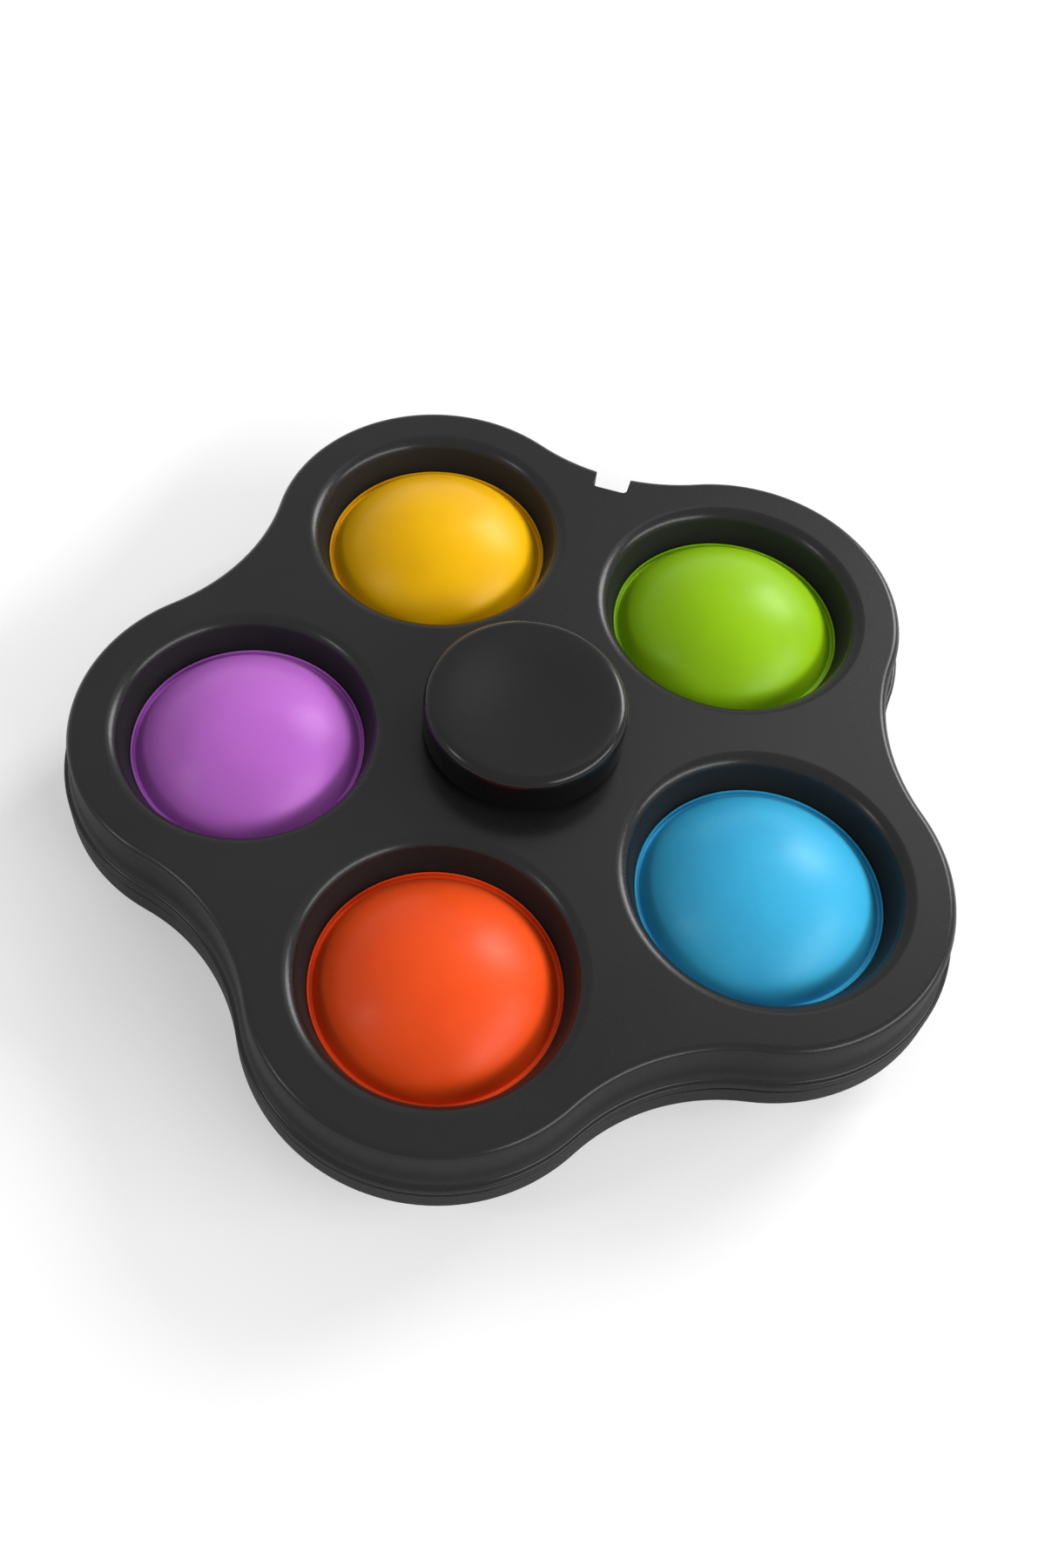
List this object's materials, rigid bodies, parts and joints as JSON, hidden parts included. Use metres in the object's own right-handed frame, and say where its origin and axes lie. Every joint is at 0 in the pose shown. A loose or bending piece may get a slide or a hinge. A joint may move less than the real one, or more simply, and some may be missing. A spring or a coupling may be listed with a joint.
{
  "type": "bubble pop fidget spinner",
  "caption": "Hand spinner with a lobed plastic body on a ball bearing between two finger caps, and a silicone pop bubble in a well in each lobe.",
  "frame": {"origin": "on the spin axis, in the flat face of the lower finger cap that the toy stands on", "axes": "+Z along the spin axis towards the bubbles' crowns, +Y towards the strap notch in the waist opposite the red bubble, +X towards the blue bubble's side"},
  "size_m": [0.0952, 0.0924, 0.0213],
  "materials": {
    "shell_plastic": "black moulded ABS with a fine satin texture",
    "cap_plastic": "black moulded ABS, satin",
    "red_silicone": "orange-red moulded silicone, satin",
    "blue_silicone": "sky blue moulded silicone, satin",
    "green_silicone": "lime green moulded silicone, satin",
    "yellow_silicone": "golden yellow moulded silicone, satin",
    "purple_silicone": "orchid purple moulded silicone, satin",
    "bearing_steel": "ground and polished bearing steel",
    "pressed_steel": "pressed sheet steel"
  },
  "bodies": {
    "finger_grip": {"upper_finger_cap": "cap_plastic", "lower_finger_cap": "cap_plastic", "bearing_inner_race": "bearing_steel"},
    "spinner": {"upper_shell": "shell_plastic", "lower_shell": "shell_plastic", "bearing_outer_race": "bearing_steel", "bearing_upper_shield": "pressed_steel", "bearing_lower_shield": "pressed_steel", "red_bubble_web": "red_silicone", "blue_bubble_web": "blue_silicone", "green_bubble_web": "green_silicone", "yellow_bubble_web": "yellow_silicone", "purple_bubble_web": "purple_silicone"},
    "ball_cage": {"bearing_ball_cage": "pressed_steel"},
    "ball_1": {"bearing_ball_1": "bearing_steel"},
    "ball_2": {"bearing_ball_2": "bearing_steel"},
    "ball_3": {"bearing_ball_3": "bearing_steel"},
    "ball_4": {"bearing_ball_4": "bearing_steel"},
    "ball_5": {"bearing_ball_5": "bearing_steel"},
    "ball_6": {"bearing_ball_6": "bearing_steel"},
    "ball_7": {"bearing_ball_7": "bearing_steel"},
    "red_crown": {"red_bubble_crown": "red_silicone"},
    "blue_crown": {"blue_bubble_crown": "blue_silicone"},
    "green_crown": {"green_bubble_crown": "green_silicone"},
    "yellow_crown": {"yellow_bubble_crown": "yellow_silicone"},
    "purple_crown": {"purple_bubble_crown": "purple_silicone"}
  },
  "joints": [
    {"name": "spin", "type": "hinge", "parent": "finger_grip", "child": "spinner", "pos_m": [0, 0, 0.01065], "axis": [0, 0, 1], "continuous": true},
    {"name": "cage_spin", "type": "hinge", "parent": "finger_grip", "child": "ball_cage", "pos_m": [0, 0, 0.01065], "axis": [0, 0, 1], "continuous": true},
    {"name": "ball_1_roll", "type": "hinge", "parent": "ball_cage", "child": "ball_1", "pos_m": [0, -0.0075, 0.01065], "axis": [0, 0, 1], "continuous": true},
    {"name": "ball_2_roll", "type": "hinge", "parent": "ball_cage", "child": "ball_2", "pos_m": [0.00586, -0.00468, 0.01065], "axis": [0, 0, 1], "continuous": true},
    {"name": "ball_3_roll", "type": "hinge", "parent": "ball_cage", "child": "ball_3", "pos_m": [0.00731, 0.00167, 0.01065], "axis": [0, 0, 1], "continuous": true},
    {"name": "ball_4_roll", "type": "hinge", "parent": "ball_cage", "child": "ball_4", "pos_m": [0.00325, 0.00676, 0.01065], "axis": [0, 0, 1], "continuous": true},
    {"name": "ball_5_roll", "type": "hinge", "parent": "ball_cage", "child": "ball_5", "pos_m": [-0.00325, 0.00676, 0.01065], "axis": [0, 0, 1], "continuous": true},
    {"name": "ball_6_roll", "type": "hinge", "parent": "ball_cage", "child": "ball_6", "pos_m": [-0.00731, 0.00167, 0.01065], "axis": [0, 0, 1], "continuous": true},
    {"name": "ball_7_roll", "type": "hinge", "parent": "ball_cage", "child": "ball_7", "pos_m": [-0.00586, -0.00468, 0.01065], "axis": [0, 0, 1], "continuous": true},
    {"name": "red_pop", "type": "slide", "parent": "spinner", "child": "red_crown", "axis": [0, 0, 1], "range_m": [-0.0132, 0], "deforming": ["red_bubble_web"]},
    {"name": "blue_pop", "type": "slide", "parent": "spinner", "child": "blue_crown", "axis": [0, 0, 1], "range_m": [-0.0132, 0], "deforming": ["blue_bubble_web"]},
    {"name": "green_pop", "type": "slide", "parent": "spinner", "child": "green_crown", "axis": [0, 0, 1], "range_m": [-0.0132, 0], "deforming": ["green_bubble_web"]},
    {"name": "yellow_pop", "type": "slide", "parent": "spinner", "child": "yellow_crown", "axis": [0, 0, 1], "range_m": [-0.0132, 0], "deforming": ["yellow_bubble_web"]},
    {"name": "purple_pop", "type": "slide", "parent": "spinner", "child": "purple_crown", "axis": [0, 0, 1], "range_m": [-0.0132, 0], "deforming": ["purple_bubble_web"]}
  ],
  "couplings": [
    {"joint": "cage_spin", "follows": "spin", "ratio": 0.632},
    {"joint": "ball_1_roll", "follows": "spin", "ratio": 1.762},
    {"joint": "ball_2_roll", "follows": "spin", "ratio": 1.762},
    {"joint": "ball_3_roll", "follows": "spin", "ratio": 1.762},
    {"joint": "ball_4_roll", "follows": "spin", "ratio": 1.762},
    {"joint": "ball_5_roll", "follows": "spin", "ratio": 1.762},
    {"joint": "ball_6_roll", "follows": "spin", "ratio": 1.762},
    {"joint": "ball_7_roll", "follows": "spin", "ratio": 1.762}
  ]
}
